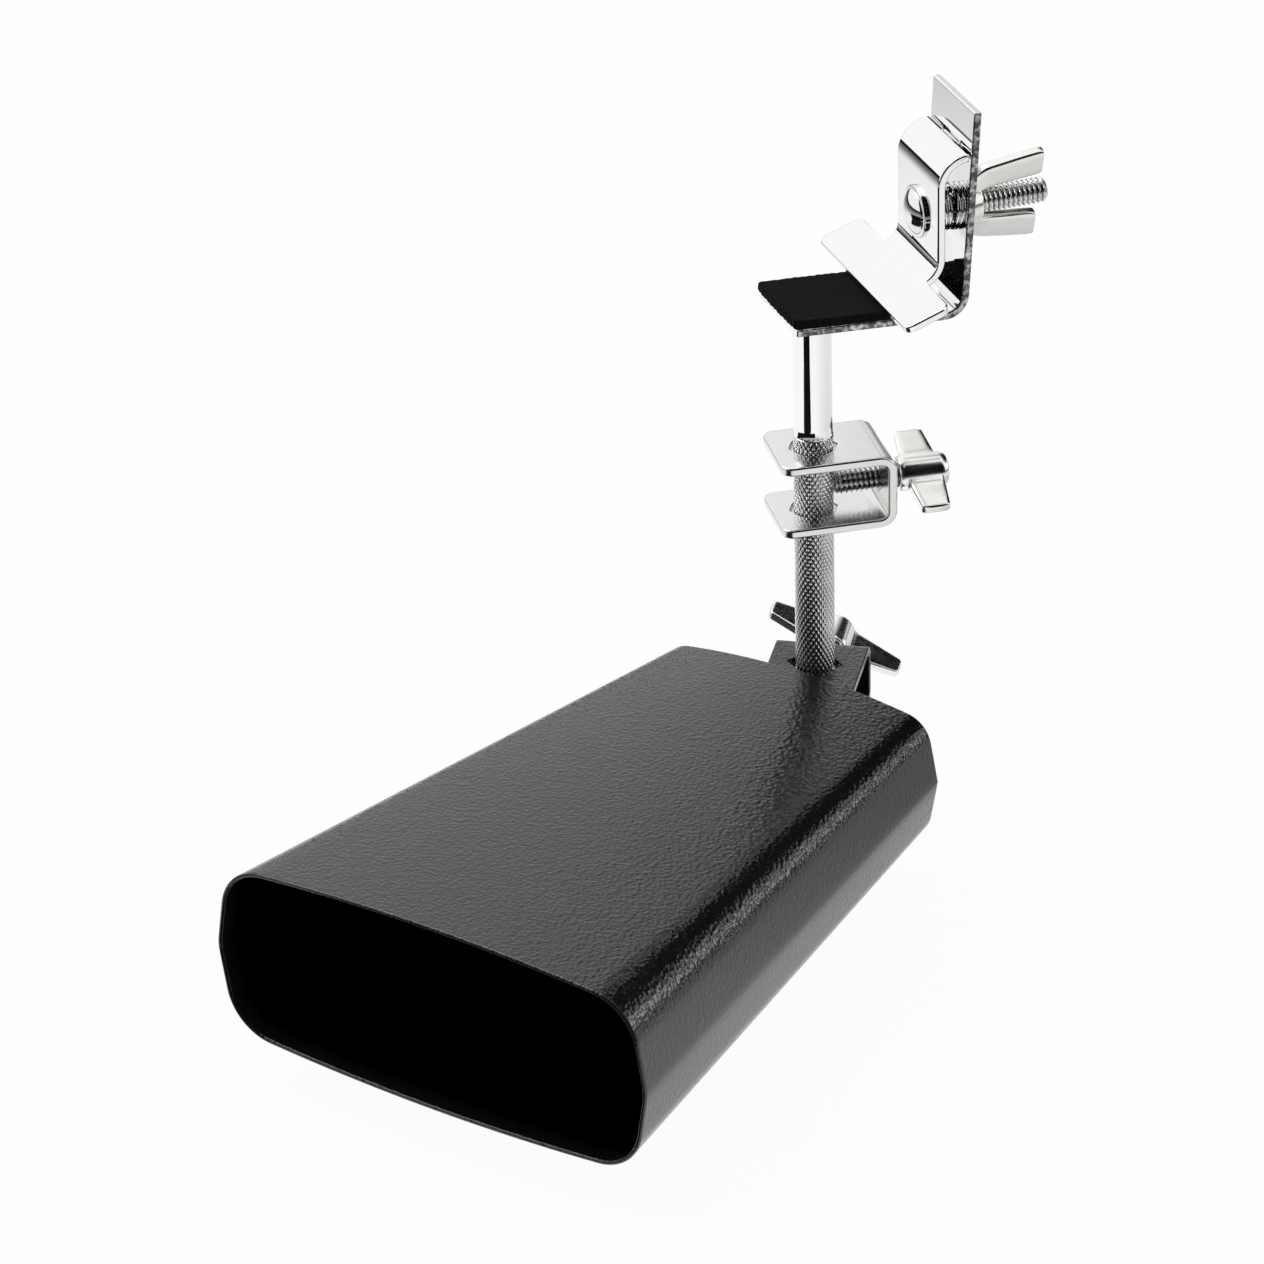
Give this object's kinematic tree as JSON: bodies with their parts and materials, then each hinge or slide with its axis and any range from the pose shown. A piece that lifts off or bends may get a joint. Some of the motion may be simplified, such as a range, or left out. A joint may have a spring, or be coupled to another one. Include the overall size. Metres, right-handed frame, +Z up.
{
  "type": "clamp-mounted cowbell",
  "caption": "Sheet-steel cowbell on a knurled support rod, with a felt-lined hoop clamp, sliding brackets and wing screws.",
  "frame": {"origin": "where the support rod's axis meets the top face of the felt pad that the drum hoop sits on", "axes": "+Z up along the support rod; the bell's own axis lies along Y and its mouth faces -Y; +X to the right when looking along +Y into the mouth"},
  "size_m": [0.1236, 0.2145, 0.1894],
  "materials": {
    "chrome_strip": "bright chrome plate",
    "chrome_rod": "bright chrome plate, knurled below",
    "chrome_screw": "bright zinc or chrome plate",
    "chrome_cast": "cast, chrome plated",
    "bell_coat": "black textured powder coat, semi-gloss",
    "felt": "black felt"
  },
  "bodies": {
    "clamp": {"clamp_strip": "chrome_strip", "felt_pad": "felt", "rod_weld": "chrome_strip"},
    "rod": {"rod": "chrome_rod"},
    "bell": {"bell_bracket": "bell_coat", "bell_shell_upper": "bell_coat", "bell_shell_lower": "bell_coat", "bell_end_plate": "bell_coat", "seam_weld_right": "bell_coat", "seam_weld_left": "bell_coat", "bracket_weld_upper": "bell_coat", "bracket_weld_lower": "bell_coat"},
    "bell_stud": {"bell_screw_stud": "chrome_screw"},
    "bell_head": {"bell_screw_head": "chrome_cast"},
    "arm": {"arm_bracket": "chrome_strip"},
    "arm_stud": {"arm_screw_stud": "chrome_screw"},
    "arm_head": {"arm_screw_head": "chrome_cast"},
    "jaw": {"upper_jaw": "chrome_strip", "jaw_bolt": "chrome_screw", "jaw_spring": "chrome_screw"},
    "washer": {"jaw_washer": "chrome_screw"},
    "nut": {"wing_nut": "chrome_cast"}
  },
  "joints": [
    {"name": "bell_swivel", "type": "hinge", "parent": "clamp", "child": "rod", "pos_m": [0, 0, -0.06221], "axis": [0, 0, 1], "continuous": true},
    {"name": "bell_slide", "type": "slide", "parent": "rod", "child": "bell", "axis": [0, 0, 1], "range_m": [-0.01, 0.018]},
    {"name": "bell_screw_slide", "type": "slide", "parent": "bell", "child": "bell_stud", "axis": [-0.3907, 0.9205, 0], "range_m": [0, 0.00381]},
    {"name": "bell_screw_spin", "type": "hinge", "parent": "bell_stud", "child": "bell_head", "pos_m": [-0.00977, 0.02301, -0.10801], "axis": [-0.3907, 0.9205, 0], "range_deg": [0, 1080]},
    {"name": "arm_slide", "type": "slide", "parent": "clamp", "child": "arm", "axis": [0, 0, 1], "range_m": [-0.005, 0.02]},
    {"name": "arm_screw_slide", "type": "slide", "parent": "arm", "child": "arm_stud", "axis": [0.6691, 0.7431, 0], "range_m": [0, 0.00381]},
    {"name": "arm_screw_spin", "type": "hinge", "parent": "arm_stud", "child": "arm_head", "pos_m": [0.01673, 0.01858, -0.05051], "axis": [0.6691, 0.7431, 0], "range_deg": [0, 1080]},
    {"name": "jaw_hinge", "type": "hinge", "parent": "clamp", "child": "jaw", "pos_m": [0.02128, 0.03039, 0.03528], "axis": [-0.8192, 0.5736, 0], "range_deg": [0, 18], "deforming": ["jaw_spring"]},
    {"name": "washer_slide", "type": "slide", "parent": "jaw", "child": "washer", "axis": [0.5736, 0.8192, 0], "range_m": [0, 0.00698]},
    {"name": "nut_spin", "type": "hinge", "parent": "washer", "child": "nut", "pos_m": [0.02581, 0.03686, 0.01779], "axis": [0.5736, 0.8192, 0], "range_deg": [0, 1980]}
  ],
  "couplings": [
    {"joint": "bell_screw_slide", "follows": "bell_screw_spin", "m_per_rad": 0.00020213},
    {"joint": "arm_screw_slide", "follows": "arm_screw_spin", "m_per_rad": 0.00020213},
    {"joint": "jaw_hinge", "follows": "nut_spin", "ratio": 0.0090909},
    {"joint": "washer_slide", "follows": "nut_spin", "m_per_rad": 0.00020213}
  ]
}
